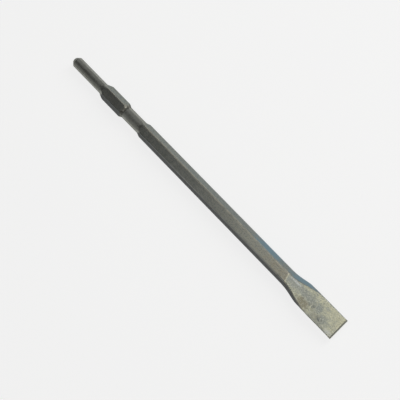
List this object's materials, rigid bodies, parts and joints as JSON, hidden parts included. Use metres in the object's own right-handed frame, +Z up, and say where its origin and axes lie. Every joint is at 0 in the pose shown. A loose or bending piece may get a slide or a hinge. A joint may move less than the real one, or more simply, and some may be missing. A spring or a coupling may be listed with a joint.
{
  "type": "hexagon shank flat chisel",
  "caption": "Flat chisel bit for a demolition hammer, forged from one hexagon steel bar, with a round pilot, a hexagon collar, a neck and a wide flat blade.",
  "frame": {"origin": "on the surface that the chisel lies on, under the middle of its box", "axes": "+X along the bar towards the cutting edge, +Y across the blade, +Z up through the blade's thickness, out of the flat of the hexagon opposite the one it lies on"},
  "size_m": [0.45, 0.027, 0.017],
  "materials": {
    "tool_steel": "satin"
  },
  "bodies": {
    "root": {"chisel": "tool_steel"}
  },
  "joints": []
}
